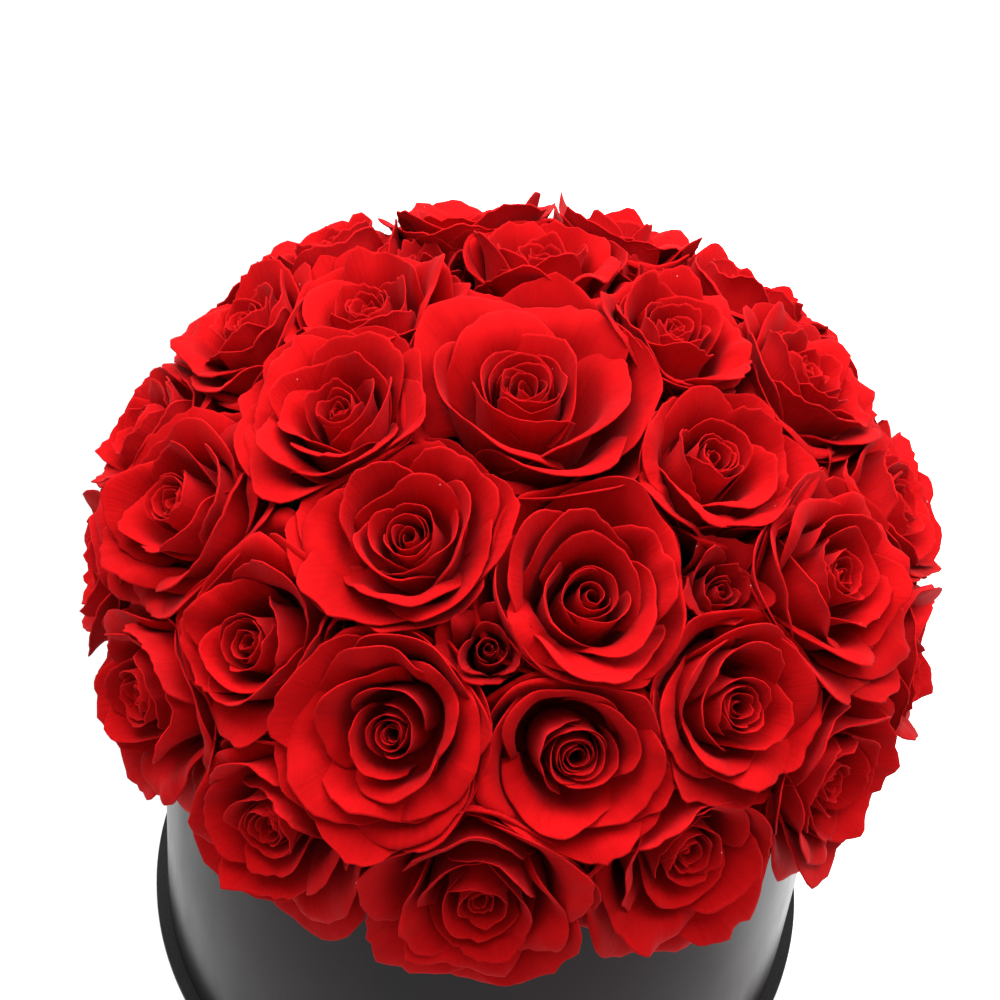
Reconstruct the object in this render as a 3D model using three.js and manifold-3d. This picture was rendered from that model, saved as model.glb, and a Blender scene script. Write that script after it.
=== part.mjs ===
// Flower box: a round card box with a projecting base plate, filled with floral
// foam that carries a dome of preserved roses, each on its own short stem.
// Millimetres, +Z up, origin at the centre of the base plate's underside, front
// of the arrangement facing -Y.

import * as THREE from 'three';
import { mergeVertices } from 'three/addons/utils/BufferGeometryUtils.js';
import Module from 'manifold-3d';

const wasm = await Module();
wasm.setup();

// Clearance kept between pieces that touch on the real object.
const GAP = 0.3;

// Box.
const BOX_RADIUS = 99;
const BOX_TOP = 147;
const PLATE_RADIUS = 102.7;
const PLATE_THICKNESS = 3;
const BOARD_THICKNESS = 1.8;
const WRAP_THICKNESS = 0.4;
const WRAP_TURN_IN = 14;
const BOTTOM_THICKNESS = 2;
const BOX_SEGMENTS = 64;

// Foam.
const FOAM_CLEARANCE = 1.2;
const FOAM_BASE_TOP = 138;
const FOAM_SHOULDER_RADIUS = 91;
const FOAM_NECK_Z = 157;
const FOAM_SEGMENTS = 32;

// Dome that the tips of the roses lie on: a flattened sphere.
const DOME_RADIUS = 119;
const DOME_HALF_HEIGHT = 87;
const DOME_CENTRE_Z = 167;

// Roses.
const HEAD_DEPTH = 42;
const BUD_DEPTH = 34;
const BUD_RECESS = 7;
const BUD_WIDTH_LIMIT = 35;
const STEM_RADIUS = 2.2;
const STEM_LENGTH = 22;
const STEM_OVERLAP = 6;
const STEM_SEGMENTS = 6;
const HEAD_SEGMENTS = 10;
const PETAL_LOBES = 5;
const LOBE_SWING = 0.05;
const HEAD_CENTRE_DEPTH = 14;

// Each rose: azimuth in degrees from the front towards +X, height on the dome in
// degrees from its widest circle, and width across the open flower.
const ROWS = {
  rose_skirt: [
    [0, 9, 56], [28, 12, 55], [56, 11, 52], [82, 5, 50], [109, 4, 50],
    [136, 8, 54], [163, 8, 55], [192, 8, 55], [220, 8, 55], [249, 4, 52],
    [277, 4, 50], [304, 10, 54], [331, 10, 55],
  ],
  rose_shoulder: [
    [12, 36, 56], [44, 37, 52], [73, 39, 55], [99, 25, 46], [118, 41, 48],
    [143, 32, 52], [168, 36, 52], [194, 35, 52], [219, 33, 52], [244, 38, 48],
    [261, 22, 44], [284, 35, 55], [313, 38, 53], [342, 37, 58],
  ],
  rose_crown: [
    [21, 62, 60], [82, 63, 50], [132, 64, 48], [180, 56, 50], [231, 58, 50],
    [274, 63, 50], [325, 64, 54],
  ],
  rose_top: [
    [180, 87, 72],
  ],
  rose_bud: [
    [54, 52, 24], [354, 52, 25], [156, 50, 26], [208, 50, 26],
  ],
};

const rose_red = material(0xb0060c, 0.62);
const bud_red = material(0x96060c, 0.62);
const gloss_black = material(0x0b0b0c, 0.2);
const matte_black = material(0x161617, 0.85);
const grey_board = material(0x8d8a84, 0.9);
const foam_green = material(0x3f5a3a, 0.95);

function material(color, roughness) {
  return new THREE.MeshStandardMaterial({ color, roughness, metalness: 0 });
}

// A three.js geometry as a closed solid, moved by a matrix when one is given.
function solidOf(geometry, matrix) {
  const bare = geometry.clone();
  bare.deleteAttribute('normal');
  bare.deleteAttribute('uv');
  if (matrix) {
    bare.applyMatrix4(matrix);
  }
  const merged = mergeVertices(bare, 1e-4);
  return new wasm.Manifold(new wasm.Mesh({
    numProp: 3,
    vertProperties: Float32Array.from(merged.attributes.position.array),
    triVerts: Uint32Array.from(merged.index.array),
  }));
}

function geometryOf(solid) {
  const mesh = solid.getMesh();
  const geometry = new THREE.BufferGeometry();
  geometry.setAttribute('position', new THREE.BufferAttribute(mesh.vertProperties, 3));
  geometry.setIndex(new THREE.BufferAttribute(mesh.triVerts, 1));
  geometry.computeVertexNormals();
  return geometry;
}

// A solid of revolution about Z. The profile runs from low to high on its outer
// side, as [radius, z] pairs.
function turned(profile, segments) {
  const points = profile.map(([radius, z]) => new THREE.Vector2(radius, z));
  const geometry = new THREE.LatheGeometry(points, segments);
  geometry.rotateX(Math.PI / 2);
  return geometry;
}

function named(name, geometry, finish) {
  const mesh = new THREE.Mesh(geometry, finish);
  mesh.name = name;
  return mesh;
}

// The projecting plate under the box, with its two edges eased.
function basePlate() {
  const ease = 0.5;
  return turned([
    [0, 0],
    [PLATE_RADIUS - ease, 0],
    [PLATE_RADIUS, ease],
    [PLATE_RADIUS, PLATE_THICKNESS - ease],
    [PLATE_RADIUS - ease, PLATE_THICKNESS],
    [0, PLATE_THICKNESS],
  ], BOX_SEGMENTS);
}

const boardOuter = BOX_RADIUS - WRAP_THICKNESS - GAP;
const boardInner = boardOuter - BOARD_THICKNESS;
const wallFoot = PLATE_THICKNESS + GAP;
const boardTop = BOX_TOP - WRAP_THICKNESS - GAP;

// The stiff card tube of the wall.
function wallBoard() {
  return turned([
    [boardInner, wallFoot],
    [boardOuter, wallFoot],
    [boardOuter, boardTop],
    [boardInner, boardTop],
    [boardInner, wallFoot],
  ], BOX_SEGMENTS);
}

// The glossy paper around the wall, folded over the rim and down inside.
function wallWrap() {
  const turnInOuter = boardInner - GAP;
  const turnInInner = turnInOuter - WRAP_THICKNESS;
  const turnInFoot = BOX_TOP - WRAP_TURN_IN;
  return turned([
    [boardOuter + GAP, wallFoot],
    [BOX_RADIUS, wallFoot],
    [BOX_RADIUS, BOX_TOP],
    [turnInInner, BOX_TOP],
    [turnInInner, turnInFoot],
    [turnInOuter, turnInFoot],
    [turnInOuter, boardTop + GAP],
    [boardOuter + GAP, boardTop + GAP],
    [boardOuter + GAP, wallFoot],
  ], BOX_SEGMENTS);
}

// The disc glued inside the foot of the wall.
function innerBottom() {
  const radius = boardInner - GAP;
  return turned([
    [0, wallFoot],
    [radius, wallFoot],
    [radius, wallFoot + BOTTOM_THICKNESS],
    [0, wallFoot + BOTTOM_THICKNESS],
  ], BOX_SEGMENTS);
}

// The drum of foam that fills the box.
function foamBase() {
  const radius = boardInner - GAP - WRAP_THICKNESS - FOAM_CLEARANCE;
  const foot = wallFoot + BOTTOM_THICKNESS + GAP;
  return turned([
    [0, foot],
    [radius, foot],
    [radius, FOAM_BASE_TOP],
    [0, FOAM_BASE_TOP],
  ], FOAM_SEGMENTS);
}

// Point and outward direction on the dome at a height angle, in the (r, z) plane.
function domePoint(height) {
  const angle = THREE.MathUtils.degToRad(height);
  const point = new THREE.Vector2(
    DOME_RADIUS * Math.cos(angle),
    DOME_CENTRE_Z + DOME_HALF_HEIGHT * Math.sin(angle),
  );
  const outward = new THREE.Vector2(
    Math.cos(angle) / DOME_RADIUS,
    Math.sin(angle) / DOME_HALF_HEIGHT,
  ).normalize();
  return { point, outward };
}

// The rounded foam above the rim: its surface lies just under the rose heads.
function foamDomeBlank() {
  const depth = HEAD_DEPTH + 2 * GAP;
  const steps = 5;
  const profile = [
    [0, FOAM_BASE_TOP + GAP],
    [FOAM_SHOULDER_RADIUS, FOAM_BASE_TOP + GAP],
    [DOME_RADIUS - depth, FOAM_NECK_Z],
  ];
  for (let step = 0; step < steps; step += 1) {
    const { point, outward } = domePoint((90 * step) / steps);
    profile.push([point.x - depth * outward.x, point.y - depth * outward.y]);
  }
  profile.push([0, DOME_CENTRE_Z + DOME_HALF_HEIGHT - depth]);
  return turned(profile, FOAM_SEGMENTS);
}

// Where a rose stands: the tip of its head, its outward axis and its measures.
function layOut(row, index) {
  const [azimuth, height, width] = ROWS[row][index];
  const { point, outward } = domePoint(height);
  const turn = THREE.MathUtils.degToRad(azimuth);
  const away = new THREE.Vector3(Math.sin(turn), -Math.cos(turn), 0);
  const up = new THREE.Vector3(0, 0, 1);
  const axis = away.clone().multiplyScalar(outward.x).addScaledVector(up, outward.y);
  const tip = away.clone().multiplyScalar(point.x).addScaledVector(up, point.y);
  const isBud = width < BUD_WIDTH_LIMIT;
  if (isBud) {
    tip.addScaledVector(axis, -BUD_RECESS);
  }
  const place = new THREE.Object3D();
  place.position.copy(tip);
  place.quaternion.setFromUnitVectors(up, axis);
  place.updateMatrixWorld();
  return {
    name: `${row}_${String(index + 1).padStart(2, '0')}`,
    radius: width / 2,
    depth: isBud ? BUD_DEPTH : HEAD_DEPTH,
    centre: tip.clone().addScaledVector(axis, -Math.min(HEAD_CENTRE_DEPTH, width / 3)),
    isBud,
    place,
  };
}

// A rose head without its stem, tip at the origin and opening towards +Z: a cup
// of outer petals with lobed edges around a raised heart.
function headBlank(rose) {
  const { radius, depth } = rose;
  const profile = [
    [0, -depth],
    [0.24 * radius, -depth],
    [0.76 * radius, -0.62 * depth],
    [radius, -0.24 * depth],
    [0.58 * radius, -0.05 * depth],
    [0, 0],
  ];
  const geometry = turned(profile, HEAD_SEGMENTS);
  const position = geometry.attributes.position;
  for (let i = 0; i < position.count; i += 1) {
    const x = position.getX(i);
    const y = position.getY(i);
    const lobe = 1 + LOBE_SWING * Math.cos(PETAL_LOBES * Math.atan2(y, x));
    position.setXY(i, x * lobe, y * lobe);
  }
  return geometry;
}

// The block of space beyond the plane that parts one rose head from another.
function spaceBeyond(rose, other) {
  const between = other.centre.clone().sub(rose.centre);
  const distance = between.length();
  const lead = (rose.radius ** 2 - other.radius ** 2) / (2 * distance);
  const size = 160;
  const block = new THREE.Object3D();
  block.position.copy(rose.centre);
  block.quaternion.setFromUnitVectors(new THREE.Vector3(0, 0, 1), between.normalize());
  block.translateZ(distance / 2 + lead - GAP / 2 + size / 2);
  block.updateMatrixWorld();
  return solidOf(new THREE.BoxGeometry(size, size, size), block.matrixWorld);
}

// One rose: the head, pressed flat where it meets its neighbours, and its stem.
// The geometry is in the rose's own frame.
function roseGeometry(rose, roses) {
  let head = solidOf(headBlank(rose), rose.place.matrixWorld);
  for (const other of roses) {
    const reach = (rose.radius + other.radius) * (1 + LOBE_SWING) + GAP;
    if (other !== rose && other.centre.distanceTo(rose.centre) < reach) {
      head = head.subtract(spaceBeyond(rose, other));
    }
  }
  const stem = new THREE.CylinderGeometry(
    STEM_RADIUS, STEM_RADIUS, STEM_LENGTH + STEM_OVERLAP, STEM_SEGMENTS,
  );
  stem.rotateX(Math.PI / 2);
  stem.translate(0, 0, -rose.depth + STEM_OVERLAP - (STEM_LENGTH + STEM_OVERLAP) / 2);
  const whole = head.add(solidOf(stem, rose.place.matrixWorld));
  const geometry = geometryOf(whole);
  return geometry.applyMatrix4(rose.place.matrixWorld.clone().invert());
}

// The foam dome with a socket for each stem.
function foamDome(roses) {
  let dome = solidOf(foamDomeBlank());
  for (const rose of roses) {
    const depth = rose.depth + STEM_LENGTH + GAP;
    const radius = STEM_RADIUS + GAP;
    const socket = new THREE.CylinderGeometry(radius, radius, depth, STEM_SEGMENTS);
    socket.rotateX(Math.PI / 2);
    socket.translate(0, 0, -depth / 2);
    dome = dome.subtract(solidOf(socket, rose.place.matrixWorld));
  }
  return geometryOf(dome);
}

const group = new THREE.Group();
group.add(named('base_plate', basePlate(), matte_black));
group.add(named('wall_board', wallBoard(), grey_board));
group.add(named('wall_wrap', wallWrap(), gloss_black));
group.add(named('inner_bottom', innerBottom(), grey_board));
group.add(named('foam_base', foamBase(), foam_green));

const roses = Object.keys(ROWS).flatMap((row) => ROWS[row].map((_, i) => layOut(row, i)));
group.add(named('foam_dome', foamDome(roses), foam_green));
for (const rose of roses) {
  const mesh = named(rose.name, roseGeometry(rose, roses), rose.isBud ? bud_red : rose_red);
  mesh.position.copy(rose.place.position);
  mesh.quaternion.copy(rose.place.quaternion);
  group.add(mesh);
}

export default group;
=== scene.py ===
import math

import bmesh
import bpy
import numpy as np
from mathutils import Matrix, Vector


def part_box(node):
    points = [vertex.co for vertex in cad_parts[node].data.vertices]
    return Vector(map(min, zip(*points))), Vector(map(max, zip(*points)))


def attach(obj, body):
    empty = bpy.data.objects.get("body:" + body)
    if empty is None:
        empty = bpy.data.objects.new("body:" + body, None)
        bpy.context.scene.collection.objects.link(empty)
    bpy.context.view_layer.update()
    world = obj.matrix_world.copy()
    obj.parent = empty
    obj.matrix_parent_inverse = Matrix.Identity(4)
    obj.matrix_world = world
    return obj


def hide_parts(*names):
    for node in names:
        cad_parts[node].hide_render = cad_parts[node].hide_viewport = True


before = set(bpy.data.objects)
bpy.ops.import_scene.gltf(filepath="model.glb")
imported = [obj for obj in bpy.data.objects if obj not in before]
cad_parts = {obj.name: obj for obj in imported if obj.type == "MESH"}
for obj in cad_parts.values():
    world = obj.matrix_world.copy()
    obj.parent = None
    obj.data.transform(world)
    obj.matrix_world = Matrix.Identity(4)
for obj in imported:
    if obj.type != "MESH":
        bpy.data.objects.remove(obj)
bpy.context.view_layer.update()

MM = 0.001


# ---------------------------------------------------------------- small helpers

def ramp(x, low, high):
    """0 below low, 1 above high, and a smooth step between."""
    t = np.clip((x - low) / (high - low), 0.0, 1.0)
    return t * t * (3.0 - 2.0 * t)


def unit(vector):
    return vector / np.linalg.norm(vector, axis=-1, keepdims=True)


def ring_angles(count):
    return np.linspace(0, 2 * math.pi, count, endpoint=False)


def add_object(name, mesh):
    thing = bpy.data.objects.new(name, mesh)
    bpy.context.scene.collection.objects.link(thing)
    return thing


def smooth(mesh):
    mesh.polygons.foreach_set("use_smooth", np.ones(len(mesh.polygons), dtype=bool))


def node_points(name):
    """The CAD node's vertices in metres, as an array."""
    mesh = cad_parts[name].data
    points = np.empty(len(mesh.vertices) * 3)
    mesh.vertices.foreach_get("co", points)
    return points.reshape(-1, 3)


def box_of(name):
    low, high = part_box(name)
    return np.array(low), np.array(high)


# ---------------------------------------------------------------- measures from the frame

PLATE_LOW, PLATE_HIGH = box_of("base_plate")
WALL_LOW, WALL_HIGH = box_of("wall_wrap")
PLATE_RADIUS = float(PLATE_HIGH[0] - PLATE_LOW[0]) / 2
WALL_RADIUS = float(WALL_HIGH[0] - WALL_LOW[0]) / 2
RIM_Z = float(WALL_HIGH[2])
DOME_FOOT_Z = box_of("foam_dome")[0][2]


# ---------------------------------------------------------------- camera

PITCH = math.radians(53.07)
ROLL = math.radians(6.26)
DISTANCE = 12 * PLATE_RADIUS
AIM = Vector((-0.057, 1.495, 0.0)) * PLATE_RADIUS
SENSOR_WIDTH = 36.0
LENS = 127.28


def add_camera():
    """Looks down on the dome from the front, as the photograph does. The pitch, roll, aim and
    lens follow from the plate's and the wall's arcs at the photograph's foot."""
    forward = Vector((0.0, math.cos(PITCH), -math.sin(PITCH)))
    right = Vector((1.0, 0.0, 0.0))
    up = right.cross(forward)
    rolled_right = math.cos(ROLL) * right + math.sin(ROLL) * up
    rolled_up = math.cos(ROLL) * up - math.sin(ROLL) * right
    data = bpy.data.cameras.new("camera")
    data.sensor_width = SENSOR_WIDTH
    data.lens = LENS
    data.clip_start = 0.05
    data.clip_end = 20.0
    camera = bpy.data.objects.new("camera", data)
    basis = Matrix((rolled_right, rolled_up, -forward)).transposed()
    camera.matrix_world = Matrix.Translation(AIM - DISTANCE * forward) @ basis.to_4x4()
    bpy.context.scene.collection.objects.link(camera)
    bpy.context.scene.camera = camera


add_camera()


# ---------------------------------------------------------------- materials

# Colours are linear. Noise scales are in cycles per metre, except across a petal's own grain.

class Nodes:
    """A material's node tree, with short calls to add nodes to it."""

    def __init__(self, name):
        self.material = bpy.data.materials.new(name)
        self.material.use_nodes = True
        self.tree = self.material.node_tree
        self.shader = self.tree.nodes["Principled BSDF"]

    def add(self, kind, **settings):
        node = self.tree.nodes.new(kind)
        for key, value in settings.items():
            setattr(node, key, value)
        return node

    def put(self, value, socket):
        """Sets a socket to a number or colour, or links an output to it."""
        if hasattr(value, "is_output"):
            self.tree.links.new(value, socket)
        elif isinstance(value, tuple) and len(value) == 3 and socket.type == "RGBA":
            socket.default_value = (*value, 1.0)
        else:
            socket.default_value = value

    def math(self, operation, a, b):
        node = self.add("ShaderNodeMath", operation=operation)
        self.put(a, node.inputs[0])
        self.put(b, node.inputs[1])
        return node.outputs[0]

    def total(self, first, *rest):
        for value in rest:
            first = self.math("ADD", first, value)
        return first

    def mix(self, factor, a, b):
        """Blends two colours. Sockets 6, 7 and 2 are the colour ones of the Mix node."""
        node = self.add("ShaderNodeMix", data_type="RGBA")
        self.put(factor, node.inputs["Factor"])
        self.put(a, node.inputs[6])
        self.put(b, node.inputs[7])
        return node.outputs[2]

    def noise(self, vector, scale, detail=3.0, rough=0.55):
        node = self.add("ShaderNodeTexNoise")
        self.put(vector, node.inputs["Vector"])
        self.put(scale, node.inputs["Scale"])
        self.put(detail, node.inputs["Detail"])
        self.put(rough, node.inputs["Roughness"])
        return node.outputs["Fac"]

    def specks(self, vector, scale, size, rarity):
        """Small round dust specks, in a few of the cells of a Voronoi pattern."""
        cells = self.add("ShaderNodeTexVoronoi")
        self.put(vector, cells.inputs["Vector"])
        self.put(scale, cells.inputs["Scale"])
        near = self.math("LESS_THAN", cells.outputs["Distance"], size)
        chance = self.split(cells.outputs["Color"])[0]
        return self.math("MULTIPLY", near, self.math("GREATER_THAN", chance, rarity))

    def spread(self, value, low, high, to_low=0.0, to_high=1.0):
        """Maps low..high to to_low..to_high in a straight line, and holds the ends."""
        node = self.add("ShaderNodeMapRange")
        for socket, number in zip(node.inputs, (value, low, high, to_low, to_high)):
            self.put(number, socket)
        return node.outputs[0]

    def place(self):
        return self.add("ShaderNodeTexCoord").outputs["Object"]

    def attribute(self, name):
        return self.add("ShaderNodeAttribute", attribute_name=name).outputs

    def split(self, colour):
        node = self.add("ShaderNodeSeparateColor")
        self.put(colour, node.inputs[0])
        return node.outputs

    def split_place(self, vector):
        node = self.add("ShaderNodeSeparateXYZ")
        self.put(vector, node.inputs[0])
        return node.outputs

    def length(self, vector):
        node = self.add("ShaderNodeVectorMath", operation="LENGTH")
        self.put(vector, node.inputs[0])
        return node.outputs["Value"]

    def scaled(self, vector, scale):
        node = self.add("ShaderNodeMapping")
        self.put(vector, node.inputs["Vector"])
        node.inputs["Scale"].default_value = scale
        return node.outputs[0]

    def brightened(self, colour, factor):
        node = self.add("ShaderNodeVectorMath", operation="SCALE")
        self.put(colour, node.inputs[0])
        self.put(factor, node.inputs["Scale"])
        return node.outputs[0]

    def bump(self, height, strength, distance, normal=None):
        node = self.add("ShaderNodeBump")
        self.put(strength, node.inputs["Strength"])
        self.put(distance, node.inputs["Distance"])
        self.put(height, node.inputs["Height"])
        if normal is not None:
            self.put(normal, node.inputs["Normal"])
        return node.outputs[0]

    def finish(self, **values):
        for key, value in values.items():
            self.put(value, self.shader.inputs[key.replace("_", " ")])
        return self.material


DUST = (0.85, 0.5, 0.5)


def petal_material(name, lit, painted_foot_shade, back, rim):
    """Velvety petal: painted shade darker towards its foot, deep in the cup, duller on its back,
    with fine veins and a worn rim. The mesh attribute petal holds the climb from foot to lip,
    the nearness to the edge, 1 for the back side and a chance number for each petal."""
    n = Nodes(name)
    petal = n.attribute("petal")
    climb, edge, side = n.split(petal["Color"])[:3]
    chance = petal["Alpha"]
    grain = n.attribute("petal_uv")["Vector"]
    place = n.place()

    veins = n.noise(n.scaled(grain, (26.0, 2.2, 1.0)), 1.0, 4.0, 0.6)
    mottle = n.noise(place, 95.0, 4.0, 0.6)
    cloud = n.noise(place, 28.0, 2.0)

    # Painted shade: each petal darkens from its lit colour towards its foot, deep in the cup,
    # below 0.92 of its climb.
    colour = n.mix(side, n.mix(n.spread(climb, 0.45, 0.92), painted_foot_shade, lit), back)
    tone = n.total(
        n.spread(chance, 0.0, 1.0, -0.10, 0.06),
        n.spread(cloud, 0.3, 0.7, -0.10, 0.09),
        n.spread(mottle, 0.35, 0.65, -0.08, 0.06),
        n.spread(veins, 0.35, 0.65, -0.07, 0.04),
        1.0,
    )
    colour = n.brightened(colour, tone)
    worn = n.math("MULTIPLY", n.spread(edge, 0.6, 1.0), n.spread(cloud, 0.35, 0.65, 0.1, 0.8))
    colour = n.mix(worn, colour, rim)
    dust = n.math("MULTIPLY", n.specks(place, 190.0, 0.04, 0.82), 0.55)
    colour = n.mix(dust, colour, DUST)

    relief = n.math("ADD", n.math("MULTIPLY", veins, 0.6), n.math("MULTIPLY", mottle, 0.4))
    return n.finish(
        Base_Color=colour,
        Roughness=n.spread(mottle, 0.3, 0.7, 0.78, 0.66),
        Normal=n.bump(relief, 0.5, 0.0006),
        Specular_IOR_Level=0.05,
        Specular_Tint=(1.0, 0.25, 0.25),
        Sheen_Weight=0.05,
        Sheen_Roughness=0.5,
        Sheen_Tint=(1.0, 0.2, 0.25),
    )


def leaf_material():
    n = Nodes("calyx")
    mottle = n.noise(n.place(), 180.0, 4.0)
    colour = n.mix(n.spread(mottle, 0.35, 0.65), (0.035, 0.06, 0.018), (0.075, 0.11, 0.035))
    return n.finish(
        Base_Color=colour,
        Roughness=0.6,
        Normal=n.bump(mottle, 0.3, 0.0005),
    )


def foam_material():
    n = Nodes("foam")
    place = n.place()
    pores = n.noise(place, 900.0, 4.0, 0.7)
    cloud = n.noise(place, 40.0, 3.0)
    colour = n.mix(n.spread(pores, 0.35, 0.65), (0.010, 0.022, 0.010), (0.028, 0.045, 0.022))
    colour = n.mix(n.spread(cloud, 0.3, 0.7, 0.0, 0.4), colour, (0.014, 0.024, 0.014))
    return n.finish(Base_Color=colour, Roughness=0.95, Normal=n.bump(pores, 0.6, 0.0008))


def gloss_paper_material():
    """Black laminated paper: glossy, with a faint orange peel, a few long soft waves and a
    painted reflection of the roses: a trace of red in places."""
    n = Nodes("gloss_wrap")
    place = n.place()
    fine = n.noise(place, 700.0, 3.0)
    waves = n.noise(n.scaled(place, (1.0, 1.0, 0.5)), 22.0, 2.0)
    smear = n.noise(n.scaled(place, (1.0, 1.0, 0.35)), 60.0, 4.0)
    cloud = n.noise(n.scaled(place, (1.0, 1.0, 0.6)), 14.0, 1.0)
    # Painted reflection: the roses' red painted in soft clouds into the black paper's colour.
    black, rose_reflection_red = (0.014, 0.014, 0.0155), (0.020, 0.0142, 0.0155)
    return n.finish(
        Base_Color=n.mix(n.spread(cloud, 0.35, 0.65), black, rose_reflection_red),
        Roughness=n.spread(smear, 0.3, 0.7, 0.2, 0.28),
        Normal=n.bump(fine, 0.05, 0.0004, n.bump(waves, 0.16, 0.004)),
        IOR=1.12,
    )


def matte_paper_material():
    n = Nodes("base_card")
    place = n.place()
    fibre = n.noise(n.scaled(place, (1.0, 1.0, 3.0)), 1100.0, 4.0, 0.7)
    scuff = n.noise(place, 60.0, 5.0, 0.7)
    colour = n.mix(n.spread(fibre, 0.35, 0.65), (0.003, 0.003, 0.0032), (0.008, 0.0078, 0.008))
    colour = n.mix(n.spread(scuff, 0.55, 0.8, 0.0, 0.5), colour, (0.018, 0.0175, 0.0175))
    return n.finish(
        Base_Color=colour,
        Roughness=0.72,
        Normal=n.bump(fibre, 0.3, 0.0003),
        Specular_IOR_Level=0.2,
    )


def board_material():
    n = Nodes("grey_board")
    place = n.place()
    fibre = n.noise(n.scaled(place, (1.0, 1.0, 2.5)), 800.0, 4.0, 0.7)
    colour = n.mix(n.spread(fibre, 0.3, 0.7), (0.22, 0.21, 0.19), (0.36, 0.35, 0.32))
    return n.finish(Base_Color=colour, Roughness=0.9, Normal=n.bump(fibre, 0.4, 0.0004))


# Each red has a lit colour and a darker painted shade for the petals' feet, deep in the cups.
ROSE_RED = petal_material(
    "rose_petal",
    lit=(0.51, 0.006, 0.008),
    painted_foot_shade=(0.42, 0.0005, 0.001),
    back=(0.40, 0.003, 0.004),
    rim=(0.42, 0.0045, 0.0055),
)
BUD_RED = petal_material(
    "bud_petal",
    lit=(0.38, 0.0045, 0.006),
    painted_foot_shade=(0.25, 0.0004, 0.001),
    back=(0.30, 0.003, 0.004),
    rim=(0.32, 0.004, 0.005),
)
CALYX = leaf_material()
FOAM = foam_material()
GLOSS_PAPER = gloss_paper_material()
MATTE_PAPER = matte_paper_material()
GREY_BOARD = board_material()


# ---------------------------------------------------------------- meshes

class Shells:
    """Gathers closed bodies, each with its vertex marks, into one mesh."""

    def __init__(self):
        self.points, self.faces, self.slots = [], [], []
        self.marks, self.grain = [], []
        self.fans, self.fan_slots = [], []
        self.count = 0

    def add(self, points, faces, slot, marks=None, grain=None):
        self.points.append(points)
        self.faces.append(faces + self.count)
        self.slots.append(np.full(len(faces), slot))
        self.marks.append(np.zeros((len(points), 4)) if marks is None else marks)
        self.grain.append(np.zeros((len(points), 3)) if grain is None else grain)
        self.count += len(points)

    def sheet(self, middle, normal, thickness, slot, marks, grain):
        """A grid of points made solid, half of its thickness on each side."""
        rows, columns = middle.shape[:2]
        count = rows * columns
        half = normal * thickness[..., None] / 2
        points = np.concatenate([(middle + half).reshape(-1, 3), (middle - half).reshape(-1, 3)])
        index = np.arange(count).reshape(rows, columns)
        quad = np.stack([index[:-1, :-1], index[:-1, 1:], index[1:, 1:], index[1:, :-1]], -1)
        front = quad.reshape(-1, 4)
        loop = np.concatenate([index[0, :-1], index[:-1, -1], index[-1, :0:-1], index[:0:-1, 0]])
        after = np.roll(loop, -1)
        strip = np.stack([after, loop, loop + count, after + count], -1)
        faces = np.concatenate([front, front[:, ::-1] + count, strip])
        back_marks = marks.copy()
        back_marks[..., 2] = 1.0
        both = np.concatenate([marks.reshape(-1, 4), back_marks.reshape(-1, 4)])
        grains = np.concatenate([grain.reshape(-1, 3)] * 2)
        self.add(points, faces, slot, both, grains)

    def caps(self, points, first, last, slot):
        """Closes a tube whose points were just added, with a fan at each end."""
        base = self.count - len(points)
        for ring in (first, last):
            centre = self.count
            self.add(points[ring].mean(axis=0)[None, :], np.zeros((0, 4), dtype=int), slot)
            after = np.roll(ring, -1)
            self.fans.append(np.stack([ring + base, after + base, np.full(len(ring), centre)], -1))
            self.fan_slots.append(np.full(len(ring), slot))

    def build(self, name, materials):
        points = np.concatenate(self.points)
        faces = np.concatenate(self.faces).tolist() + np.concatenate(self.fans).tolist()
        slots = np.concatenate(self.slots + self.fan_slots).astype(np.int32)
        mesh = bpy.data.meshes.new(name)
        mesh.from_pydata(points.tolist(), [], faces)
        mesh.polygons.foreach_set("material_index", slots)
        smooth(mesh)
        marks = mesh.attributes.new("petal", "FLOAT_COLOR", "POINT")
        marks.data.foreach_set("color", np.concatenate(self.marks).ravel())
        grain = mesh.attributes.new("petal_uv", "FLOAT_VECTOR", "POINT")
        grain.data.foreach_set("vector", np.concatenate(self.grain).ravel())
        for material in materials:
            mesh.materials.append(material)
        mesh.update()
        return add_object(name, mesh)


def grid_normals(middle):
    """Unit normals of a grid of points, rows running up the sheet."""
    along = np.gradient(middle, axis=0)
    across = np.gradient(middle, axis=1)
    return unit(np.cross(across, along))


# ---------------------------------------------------------------- one rose

# Nested petal outlines in the (radius, height) plane of a head of radius 1, from the
# heart (0) to the guard petals (1): where each lip ends, how far it leans out, and
# half the angle that the petal wraps around the head.
LAYER = [0.0, 0.08, 0.16, 0.25, 0.36, 0.48, 0.60, 0.72, 0.86, 1.0]
LIP_RADIUS = [0.03, 0.08, 0.14, 0.22, 0.34, 0.47, 0.61, 0.76, 0.93, 1.06]
LIP_HEIGHT = [-0.15, -0.12, -0.09, -0.05, -0.02, 0.0, -0.03, -0.10, -0.26, -0.48]
LIP_LEAN = [-8.0, -4.0, 0.0, 4.0, 10.0, 20.0, 36.0, 56.0, 80.0, 104.0]
WRAP = [170.0, 150.0, 124.0, 102.0, 86.0, 77.0, 71.0, 66.0, 62.0, 58.0]

GOLDEN_ANGLE = math.radians(137.5)    # from one petal to the next

# The petals of a head, in groups from the heart outwards: how many, and their layers.
ROSE_GROUPS = [(6, 0.0, 0.16), (8, 0.18, 0.52), (6, 0.56, 0.80), (6, 0.84, 1.0)]
BUD_GROUPS = [(4, 0.0, 0.15), (5, 0.19, 0.48), (4, 0.54, 0.78)]


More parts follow.
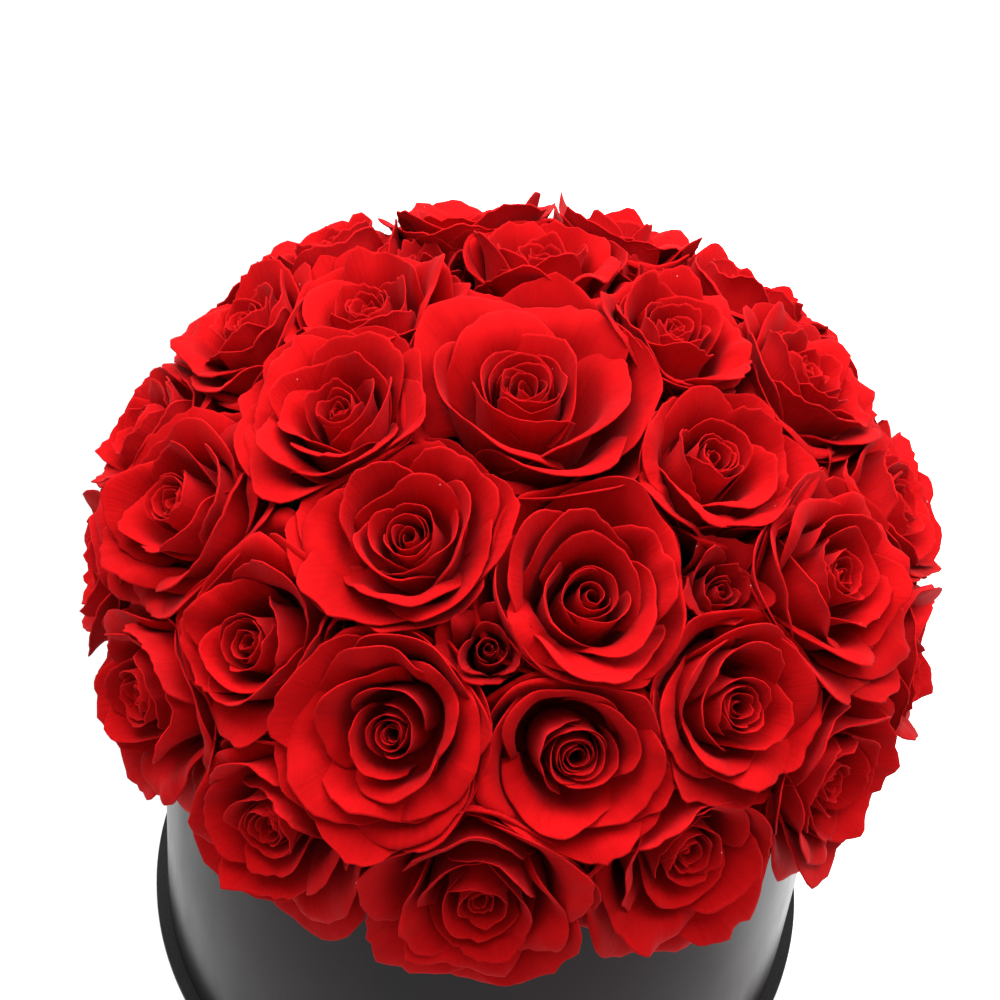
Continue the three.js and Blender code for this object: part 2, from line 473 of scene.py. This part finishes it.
def petal_outline(layer, climb, depth):
    """Radius, height and lean on the nested outlines at a climb from foot (0) to lip (1)."""
    lip_r = np.interp(layer, LAYER, LIP_RADIUS)
    lip_z = np.interp(layer, LAYER, LIP_HEIGHT)
    lean = np.radians(np.interp(layer, LAYER, LIP_LEAN))
    foot_r = 0.05 + 0.09 * layer
    foot_z = -depth + 0.10 * (1 - layer)
    start = np.radians(12 + 74 * layer ** 0.7)
    chord = np.hypot(lip_r - foot_r, lip_z - foot_z)
    reach_in = chord * (0.32 + 0.16 * layer)
    reach_out = chord * (0.40 + 0.02 * layer)
    r1, z1 = foot_r + reach_in * np.sin(start), foot_z + reach_in * np.cos(start)
    r2, z2 = lip_r - reach_out * np.sin(lean), lip_z - reach_out * np.cos(lean)
    t, q = climb, 1 - climb
    radius = q ** 3 * foot_r + 3 * q * q * t * r1 + 3 * q * t * t * r2 + t ** 3 * lip_r
    height = q ** 3 * foot_z + 3 * q * q * t * z1 + 3 * q * t * t * z2 + t ** 3 * lip_z
    dr = q * q * (r1 - foot_r) + 2 * q * t * (r2 - r1) + t * t * (lip_r - r2)
    dz = q * q * (z1 - foot_z) + 2 * q * t * (z2 - z1) + t * t * (lip_z - z2)
    return radius, height, np.arctan2(dr, dz)


def petal_sheet(rng, layer, azimuth, half_angle, depth, columns, rows):
    """One petal of a head of radius 1: its grid of points, climb, edge and grain. Petals
    near the heart are smooth, and the ones further out more and more curled and wavy."""
    across = np.linspace(-1, 1, columns + 1)[None, :]
    up = 1 - (1 - np.linspace(0, 1, rows + 1)[:, None]) ** 1.6
    side = np.abs(across)
    opened = ramp(layer, 0.1, 0.6)

    # The outline: how far up the petal's lip stands at each place across it.
    shoulder = rng.uniform(0.24, 0.42) * (0.35 + 0.65 * opened)
    top = 1 - shoulder * side ** rng.uniform(2.4, 3.6)
    top = top + opened * rng.uniform(0.0, 0.05) * np.exp(-(across / 0.12) ** 2)
    top = top + rng.uniform(0.006, 0.03) * np.sin(across * rng.uniform(4, 8) + rng.uniform(0, 6))
    kinks = np.abs(np.sin(across * rng.uniform(1.8, 3.4) + rng.uniform(0, 6)))
    top = top + opened * rng.uniform(0.03, 0.13) * (0.6 - kinks)
    top = top + rng.normal(0, 0.0075, columns + 1)[None, :]
    climb = up * np.minimum(top, 1.05)

    # The sheet on its nested outline, with its sides tucked inwards.
    spread = 0.32 + 0.68 * ramp(climb, 0.0, 0.62)
    angle = azimuth + half_angle * across * spread
    coil = 0.034 - 0.02 * opened
    tucked = layer + coil * across - 0.085 * opened * side ** 2
    tucked = tucked + 0.014 * opened * np.sin(2.3 * across + rng.uniform(0, 6))
    radius, height, lean = petal_outline(np.clip(tucked, 0.0, 1.04), climb, depth)

    # The rolled lip, ruffles, a fold in the middle and shallow dents.
    rise = climb / top
    near_lip = ramp(rise, 0.5, 1.0)
    length = 1.1 * np.maximum(rise - rng.uniform(0.74, 0.86), 0.0)
    roll = 0.5 + rng.uniform(0.3, 5.0) * opened
    roll = roll * (1 + 0.5 * np.sin(across * rng.uniform(2, 4) + rng.uniform(0, 6)))
    curl = roll * length ** 2 / 2
    drop = np.minimum(roll ** 2 * length ** 3 / 6, length)
    side_curl = ramp(side, 0.5, 1.0) * near_lip * rng.uniform(-0.02, 0.09) * opened
    fold = -rng.uniform(0.0, 0.03) * opened * np.exp(-(across / 0.2) ** 2) * near_lip
    ruffle = near_lip * (0.2 + 0.8 * opened) * (
        rng.uniform(0.006, 0.034) * np.sin(across * rng.uniform(3.0, 6.0) + rng.uniform(0, 6))
        + rng.uniform(0.002, 0.009) * np.sin(across * rng.uniform(9, 14) + rng.uniform(0, 6))
    )
    dents = 0.022 * opened * np.sin(2.6 * across + 4.0 * climb + rng.uniform(0, 6))
    out = curl + side_curl + fold + ruffle + dents * ramp(climb, 0.3, 0.8)
    radius = radius + out * np.cos(lean) - drop * np.sin(lean)
    height = height - out * np.sin(lean) - drop * np.cos(lean)
    radius = np.maximum(radius, 0.012)

    points = np.stack([radius * np.cos(angle), radius * np.sin(angle), height], -1)
    edge = np.maximum(ramp(rise, 0.92, 1.0), ramp(side, 0.94, 1.0) * ramp(climb, 0.2, 0.5))
    grain = np.stack([across * spread, climb, np.full_like(climb, rng.uniform(0, 50))], -1)
    return points, climb, edge, grain


def petal_layers(rng, groups):
    """The layer of each petal, from the heart outwards, unevenly spaced in each group."""
    layers = []
    for group, (count, low, high) in enumerate(groups):
        if group == 0:
            count -= int(rng.integers(0, 2))
            high *= rng.uniform(0.85, 1.0)
        gaps = rng.gamma(2.2, 1.0, count - 1) + 0.35
        steps = np.concatenate([[0.0], np.cumsum(gaps) / gaps.sum()])
        layers.extend(low + (high - low) * steps)
    return layers


def head_sheets(rng, groups, depth):
    """Every petal of one head of radius 1, its heart a little sunken and to one side."""
    sheets = []
    turn = rng.uniform(0, 2 * math.pi)
    sense = 1 if rng.random() < 0.5 else -1
    shift_turn = rng.uniform(0, 2 * math.pi)
    shift = rng.uniform(0.02, 0.09) * np.array([math.cos(shift_turn), math.sin(shift_turn), 0.0])
    shift[2] = -rng.uniform(-0.03, 0.12)
    for layer in petal_layers(rng, groups):
        turn += sense * (GOLDEN_ANGLE + rng.normal(0, 0.13))
        half = math.radians(np.interp(layer, LAYER, WRAP) * rng.uniform(0.82, 1.1))
        columns = int(round(14 + 12 * min(layer * 1.8, 1.0)))
        rows = int(round(12 + 7 * layer))
        points, climb, edge, grain = petal_sheet(rng, layer, turn, half, depth, columns, rows)
        points = points + shift * (1 - ramp(layer, 0.3, 0.8))
        sheets.append((layer, (points, climb, edge, grain)))
    return sheets


# ---------------------------------------------------------------- where the roses stand

STEM_LENGTH = 22 * MM
STEM_END_SPAN = 5 * MM        # CAD points this near the foot make up the stem's end
NECK_BELOW, NECK_ABOVE = 1 * MM, 0.6 * MM
LIP_DEPTH = 6 * MM            # the heads press on each other this far below their tips
HEAD_RISE = 3.5 * MM          # the petals stand this far above the CAD head
FULLNESS = 1.38               # petals spread wider than the CAD head before they are pressed
LEAN_LEAST = math.radians(16)
LEAN_MOST = math.radians(36)
BUD_LEAST_RADIUS = 13 * MM
BUD_ROOM = 5 * MM             # a bud's petals may pass its planes by this much
PRESS_ZONE = 6 * MM           # petals begin to bend this far before they reach their limit
PRESS_PAST = 1.5 * MM         # the limit of how far they pass a plane
PRESS_JITTER = 1 * MM         # the spread of each petal's own limit
PRESS_SEED = 5
NEIGHBOUR_REACH = 1.25        # roses press if they are nearer than this times their radii
RANK_SHARE, HEIGHT_SHARE = 0.6, 0.5    # what decides which rose lies over the other
FULL_HEIGHT_GAP = 40 * MM
RIM_CLEARANCE = 0.8 * MM
RIM_BAND = 9 * MM             # low petals hang outside the wall from this far inside it


class Stand:
    """A rose's place, read from its CAD solid: the tip of the head, its axis and sizes."""

    def __init__(self, name):
        self.name = name
        self.is_bud = "bud" in name
        points = node_points(name)
        inside = np.array([0.0, 0.0, DOME_FOOT_Z])
        foot = points[np.argmin(np.linalg.norm(points - inside, axis=1))]
        end = points[np.linalg.norm(points - foot, axis=1) < STEM_END_SPAN].mean(axis=0)
        reach = np.linalg.norm(points - end, axis=1)
        at_neck = (reach > STEM_LENGTH - NECK_BELOW) & (reach < STEM_LENGTH + NECK_ABOVE)
        neck = points[at_neck].mean(axis=0)
        self.axis = unit(neck - end)
        along = (points - end) @ self.axis
        off = points - end - along[:, None] * self.axis
        self.radius = np.linalg.norm(off, axis=1).max()
        if self.is_bud:
            self.radius = max(self.radius, BUD_LEAST_RADIUS)
        self.tip = end + self.axis * (along.max() + HEAD_RISE)
        self.depth = along.max() - STEM_LENGTH + HEAD_RISE
        self.centre = self.tip - self.axis * LIP_DEPTH
        upright = self.axis[2] >= 0.999
        east = unit(np.cross([0.0, 1.0, 0.0] if upright else [0.0, 0.0, 1.0], self.axis))
        self.basis = np.stack([east, np.cross(self.axis, east), self.axis])


STANDS = [Stand(name) for name in sorted(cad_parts) if name.startswith("rose_")]


# ---------------------------------------------------------------- roses pressing on each other

def press_planes(stands):
    """For each rose, the planes that part it from its neighbours, as (normal, offset).
    A plane leans, so that one rose's outer petals lie over the other's."""
    rng = np.random.default_rng(PRESS_SEED)
    rank = {s.name: rng.uniform(-1, 1) for s in stands}
    planes = {s.name: [] for s in stands}
    for i, one in enumerate(stands):
        for two in stands[i + 1:]:
            between = two.centre - one.centre
            distance = np.linalg.norm(between)
            if distance > NEIGHBOUR_REACH * (one.radius + two.radius):
                continue
            lead = (one.radius ** 2 - two.radius ** 2) / (2 * distance)
            middle = one.centre + between / distance * (distance / 2 + lead)
            rise = (one.tip[2] - two.tip[2]) / FULL_HEIGHT_GAP
            over = RANK_SHARE * (rank[one.name] - rank[two.name]) + HEIGHT_SHARE * rise
            lean = math.copysign(LEAN_LEAST + min(abs(over), 1) * (LEAN_MOST - LEAN_LEAST), over)
            out = unit(one.axis + two.axis)
            normal = unit(between)
            normal = unit(normal * math.cos(lean) - out * math.sin(lean))
            offset = float(normal @ middle)
            planes[one.name].append((normal, offset + (BUD_ROOM if one.is_bud else 0)))
            planes[two.name].append((-normal, -offset + (BUD_ROOM if two.is_bud else 0)))
    return planes


def press(points, planes):
    """Bends petals back where they would pass far beyond a plane, more and more gently."""
    for normal, offset in planes:
        past = points @ normal - offset
        over = past + PRESS_ZONE - PRESS_PAST
        bent = PRESS_PAST - PRESS_ZONE * np.exp(-over / PRESS_ZONE)
        move = np.where(over > 0, bent - past, 0.0)
        points = points + move[..., None] * normal
    return points


def clear_the_box(points):
    """Lifts petals off the rim, and keeps those that hang outside clear of the wall."""
    radius = np.hypot(points[..., 0], points[..., 1])
    floor = RIM_Z + RIM_CLEARANCE
    outside = radius > WALL_RADIUS - RIM_BAND
    cleared = np.maximum(radius, WALL_RADIUS + RIM_CLEARANCE)
    wanted = np.where(outside & (points[..., 2] < floor), cleared, radius)
    scale = wanted / np.maximum(radius, 1e-6)
    lifted = np.where(outside, points[..., 2], np.maximum(points[..., 2], floor))
    return np.stack([points[..., 0] * scale, points[..., 1] * scale, lifted], -1)


# ---------------------------------------------------------------- a whole rose

PETAL, GREEN = 0, 1           # material slots of a rose
FOOT_THICKNESS = 0.7 * MM     # of a petal, which thins towards its lip
HEART_LIP = 0.13 * MM
OUTER_LIP = 0.42 * MM
SEPAL_THICKNESS = 0.7 * MM
SEPALS = 5
CALYX_SIDES = 14
STEM_RADIUS = 1.9 * MM
STEM_SIDES, STEM_STEPS = 10, 6
FIRST_SEED = 100

# The swelling under a head of radius 1: (radius, height above the head's foot).
CALYX_PROFILE = [(0.03, -0.04), (0.13, -0.03), (0.20, 0.06), (0.24, 0.20), (0.05, 0.24)]


def to_world(stand, points):
    """Moves points of a head of radius 1, with its tip at the origin, to the rose's place."""
    return stand.tip + (points * stand.radius) @ stand.basis


def add_calyx(shells, stand, rng):
    """Five sepals and the swelling under the head."""
    depth = stand.depth / stand.radius
    angle = ring_angles(CALYX_SIDES)
    rings = np.array([
        [(r * math.cos(a), r * math.sin(a), z - depth) for a in angle] for r, z in CALYX_PROFILE
    ])
    points = to_world(stand, rings.reshape(-1, 3))
    index = np.arange(len(points)).reshape(len(CALYX_PROFILE), CALYX_SIDES)
    after = np.roll(index, -1, axis=1)
    faces = np.stack([index[:-1], after[:-1], after[1:], index[1:]], -1).reshape(-1, 4)
    shells.add(points, faces, GREEN)
    shells.caps(points, index[0][::-1], index[-1], GREEN)
    for k in range(SEPALS):
        across = np.linspace(-1, 1, 7)[None, :]
        climb = np.linspace(0, 1, 12)[:, None]
        turn = 2 * math.pi * k / SEPALS + rng.uniform(-0.15, 0.15)
        width = 0.16 * np.sin(np.pi * np.minimum(0.22 + 0.78 * climb, 1.0)) ** 0.8 + 0.004
        height = -depth + 0.02 + 0.10 * climb + rng.uniform(0.1, 0.5) * climb ** 2
        x = 0.16 + 0.62 * climb ** 0.9 + 0 * across
        y = width * across
        points = np.stack([
            x * math.cos(turn) - y * math.sin(turn),
            x * math.sin(turn) + y * math.cos(turn),
            height + 0.05 * across ** 2 * (1 - climb),
        ], -1)
        sheet = to_world(stand, points)
        marks = np.zeros(sheet.shape[:2] + (4,))
        thickness = np.full(sheet.shape[:2], SEPAL_THICKNESS)
        shells.sheet(sheet, grid_normals(sheet), thickness, GREEN, marks, points)


def add_stem(shells, stand):
    """A slightly knotty stem, which ends just short of the foot of its socket."""
    angle = ring_angles(STEM_SIDES)
    depth = stand.depth / stand.radius
    length = (STEM_LENGTH - 0.5 * MM) / stand.radius
    rings = []
    for k in range(STEM_STEPS + 1):
        radius = STEM_RADIUS / stand.radius * (1 + 0.10 * math.sin(2.1 * k))
        z = -depth + 0.02 - length * k / STEM_STEPS
        rings.append([(radius * math.cos(a), radius * math.sin(a), z) for a in angle])
    points = to_world(stand, np.array(rings).reshape(-1, 3))
    index = np.arange(len(points)).reshape(STEM_STEPS + 1, STEM_SIDES)
    after = np.roll(index, -1, axis=1)
    faces = np.stack([index[:-1], index[1:], after[1:], after[:-1]], -1).reshape(-1, 4)
    shells.add(points, faces, GREEN)
    shells.caps(points, index[0], index[-1][::-1], GREEN)


def build_rose(stand, planes, seed):
    """One rose: its petals pressed by the planes, its calyx and its stem, in one mesh."""
    rng = np.random.default_rng(seed)
    depth = stand.depth / stand.radius / FULLNESS
    shells = Shells()
    groups = BUD_GROUPS if stand.is_bud else ROSE_GROUPS
    wobble = rng.uniform(0, 6, 3)
    for layer, (points, climb, edge, grain) in head_sheets(rng, groups, depth):
        angle = np.arctan2(points[..., 1], points[..., 0])
        swell = 1 + 0.035 * np.sin(2 * angle + wobble[0]) + 0.02 * np.sin(3 * angle + wobble[1])
        points = points * np.stack([swell, swell, np.ones_like(swell)], -1)
        given = [(normal, offset + rng.normal(0, 1.0) * PRESS_JITTER) for normal, offset in planes]
        middle = clear_the_box(press(to_world(stand, points * FULLNESS), given))
        lip = HEART_LIP + (OUTER_LIP - HEART_LIP) * min(layer * 1.6, 1.0)
        thickness = FOOT_THICKNESS - (FOOT_THICKNESS - lip) * ramp(climb, 0.3, 1.0)
        marks = np.stack(np.broadcast_arrays(climb, edge, 0.0, rng.random()), -1)
        thickness = np.broadcast_to(thickness, edge.shape)
        shells.sheet(middle, grid_normals(middle), thickness, PETAL, marks, grain)
    add_calyx(shells, stand, rng)
    add_stem(shells, stand)
    petal_red = BUD_RED if stand.is_bud else ROSE_RED
    rose = shells.build(stand.name.replace("rose_", "bloom_"), [petal_red, CALYX])
    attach(rose, "root")
    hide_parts(stand.name)


PLANES = press_planes(STANDS)
for number, stand in enumerate(STANDS):
    build_rose(stand, PLANES[stand.name], FIRST_SEED + number)


# ---------------------------------------------------------------- box

SHARP_ANGLE = math.radians(40)
ROUND_SIDES = 256
CORNER_POINTS = 5             # in a rounded corner of a profile
PAPER_THICKNESS = 0.4 * MM
FOLD_RADIUS = 0.19 * MM
WALL_AND_PAPER = 2.9 * MM     # from the wall's outside to the paper inside the rim
TURN_IN = 14 * MM             # how far the paper comes down inside
FOOT_DIP = 0.2 * MM           # the paper reaches this far into the glue under the wall
SEAM_TURN = math.pi + 0.06    # where the glued overlap ends, at the back
SEAM_STEP = 0.0004
OVERLAP = 12 * MM
OVERLAP_LIFT = 0.25 * MM
PLATE_EASE = 0.6 * MM


def turned(name, profile, angle, material, node, lift=None):
    """A solid of revolution from a (radius, z) profile, which closes on itself or, if it
    starts at radius 0, on the axis. Angles are measured from the front. A lift moves the
    widest points outwards by its own amount at each angle."""
    outline = np.array(profile)
    radius = outline[:, :1] + 0 * angle[None, :]
    if lift is not None:
        widest = outline[:, :1] > outline[:, 0].max() - 0.01 * MM
        radius = radius + widest * lift[None, :]
    points = np.stack([
        radius * np.sin(angle)[None, :],
        -radius * np.cos(angle)[None, :],
        outline[:, 1:] + 0 * angle[None, :],
    ], -1)
    index = np.arange(points.shape[0] * len(angle)).reshape(points.shape[0], len(angle))
    after = np.roll(index, -1, axis=1)
    up, up_after = np.roll(index, -1, axis=0), np.roll(after, -1, axis=0)
    faces = np.stack([index, after, up_after, up], -1)
    if outline[0, 0] == 0:
        faces = faces[:-1]
    faces = faces.reshape(-1, 4)
    mesh = bpy.data.meshes.new(name)
    mesh.from_pydata(points.reshape(-1, 3).tolist(), [], faces.tolist())
    shape = bmesh.new()
    shape.from_mesh(mesh)
    bmesh.ops.remove_doubles(shape, verts=shape.verts, dist=1e-7)
    shape.to_mesh(mesh)
    shape.free()
    smooth(mesh)
    mesh.materials.append(material)
    mesh.update()
    mesh.set_sharp_from_angle(angle=SHARP_ANGLE)
    thing = add_object(name, mesh)
    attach(thing, "root")
    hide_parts(node)


def rounded(corners, size):
    """A closed profile with each corner rounded off over the given size."""
    points = []
    corners = [np.array(c, dtype=float) for c in corners]
    for k, corner in enumerate(corners):
        before, after = corners[k - 1], corners[(k + 1) % len(corners)]
        start = corner + unit(before - corner) * size
        end = corner + unit(after - corner) * size
        for t in np.linspace(0, 1, CORNER_POINTS):
            points.append((1 - t) ** 2 * start + 2 * t * (1 - t) * corner + t * t * end)
    return [tuple(p) for p in points]


def build_wrap():
    """The glossy paper, folded over the rim, with its glued overlap down the back."""
    foot = float(WALL_LOW[2]) - FOOT_DIP
    under = WALL_RADIUS - PAPER_THICKNESS
    inner = WALL_RADIUS - WALL_AND_PAPER
    behind = inner + PAPER_THICKNESS
    turn_in = RIM_Z - TURN_IN
    corners = [
        (under, foot), (WALL_RADIUS, foot), (WALL_RADIUS, RIM_Z),
        (inner, RIM_Z), (inner, turn_in), (behind, turn_in),
        (behind, RIM_Z - PAPER_THICKNESS), (under, RIM_Z - PAPER_THICKNESS),
    ]
    overlap = OVERLAP / WALL_RADIUS
    seam = [SEAM_TURN - SEAM_STEP, SEAM_TURN + SEAM_STEP]
    angle = np.sort(np.append(ring_angles(ROUND_SIDES), seam))
    lift = np.clip((angle - SEAM_TURN + overlap) / overlap, 0, 1)
    lift = OVERLAP_LIFT * np.where(angle < SEAM_TURN, lift, 0)
    profile = rounded(corners, FOLD_RADIUS)
    turned("wrap_paper", profile, angle, GLOSS_PAPER, "wall_wrap", lift)


def build_plate():
    """The plate, with eased edges and a middle that closes on the axis."""
    top = float(PLATE_HIGH[2])
    inner = PLATE_RADIUS - 5 * PLATE_EASE
    corners = [(inner, 0.0), (PLATE_RADIUS, 0.0), (PLATE_RADIUS, top), (inner, top)]
    outer_two = slice(CORNER_POINTS, 3 * CORNER_POINTS)
    rim = rounded(corners, PLATE_EASE)[outer_two]
    profile = [(0.0, 0.0), *rim, (0.0, top)]
    angle = ring_angles(ROUND_SIDES)
    turned("plate_card", profile, angle, MATTE_PAPER, "base_plate")


build_wrap()
build_plate()

CARRIED = {
    "wall_board": GREY_BOARD,
    "inner_bottom": GREY_BOARD,
    "foam_base": FOAM,
    "foam_dome": FOAM,
}
for node, material in CARRIED.items():
    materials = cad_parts[node].data.materials
    materials.clear()
    materials.append(material)


# ---------------------------------------------------------------- studio

FLOOR_HALF = 6.0
WHITE = (1.0, 1.0, 1.0)
WORLD_COLOUR = (0.95, 0.96, 1.0, 1.0)
CENTRE = (0.0, 0.0, 0.15)

# Area lamps aimed at the centre: name, place, side of the square and power.
LAMPS = [
    ("key_left", (-0.5, 0.5, 1.35), 0.9, 10.0),
    ("key_right", (0.65, 0.45, 1.15), 0.9, 7.5),
    ("tent", (0.0, 0.55, 1.55), 2.2, 67.0),
]


def floor_material():
    """Pale floor that glows. Near the box the glow is uneven, because the glossy wall mirrors
    it: brighter to the right and the back, dimmer to the left and the front."""
    n = Nodes("floor")
    place = n.place()
    x, y = n.split_place(place)[:2]
    to_right = n.math("ADD", x, n.math("MULTIPLY", y, 0.6))
    rightward = n.spread(to_right, 0.08, 0.15, 0.87, 2.4)
    glow = n.math("MULTIPLY", rightward, n.spread(y, -0.4, -0.2, 0.5, 1.0))
    distance = n.length(place)
    near = n.math("MULTIPLY", glow, n.spread(distance, 0.28, 0.55, 1.0, 0.0))
    far = n.spread(distance, 0.28, 0.55, 0.0, 0.92)
    return n.finish(
        Base_Color=(0.12, 0.12, 0.12),
        Roughness=0.8,
        Specular_IOR_Level=0.0,
        Emission_Color=WHITE,
        Emission_Strength=n.math("ADD", near, far),
    )


def add_floor():
    mesh = bpy.data.meshes.new("floor")
    half = FLOOR_HALF
    corners = [(-half, -half, 0), (half, -half, 0), (half, half, 0), (-half, half, 0)]
    mesh.from_pydata(corners, [], [(0, 1, 2, 3)])
    mesh.materials.append(floor_material())
    add_object("floor", mesh)


def add_lamp(name, place, size, power):
    data = bpy.data.lights.new(name, "AREA")
    data.shape = "RECTANGLE"
    data.size = data.size_y = size
    data.energy = power
    lamp = bpy.data.objects.new(name, data)
    turn = (Vector(CENTRE) - Vector(place)).to_track_quat("-Z", "Y")
    lamp.matrix_world = Matrix.Translation(place) @ turn.to_matrix().to_4x4()
    bpy.context.scene.collection.objects.link(lamp)


def add_studio():
    """A pale world, brighter near the horizon than above, and the lamps."""
    scene = bpy.context.scene
    world = bpy.data.worlds.new("studio")
    world.use_nodes = True
    tree = world.node_tree
    background = tree.nodes["Background"]
    background.inputs["Color"].default_value = WORLD_COLOUR
    coordinates = tree.nodes.new("ShaderNodeTexCoord")
    split = tree.nodes.new("ShaderNodeSeparateXYZ")
    fade = tree.nodes.new("ShaderNodeMapRange")
    for key, number in (("From Min", 0.1), ("From Max", 0.35), ("To Min", 0.88), ("To Max", 0.58)):
        fade.inputs[key].default_value = number
    tree.links.new(coordinates.outputs["Generated"], split.inputs[0])
    tree.links.new(split.outputs[2], fade.inputs[0])
    tree.links.new(fade.outputs[0], background.inputs["Strength"])
    scene.world = world
    for name, place, size, power in LAMPS:
        add_lamp(name, place, size, power)
    scene.view_settings.view_transform = "Standard"
    scene.view_settings.look = "None"


add_floor()
add_studio()
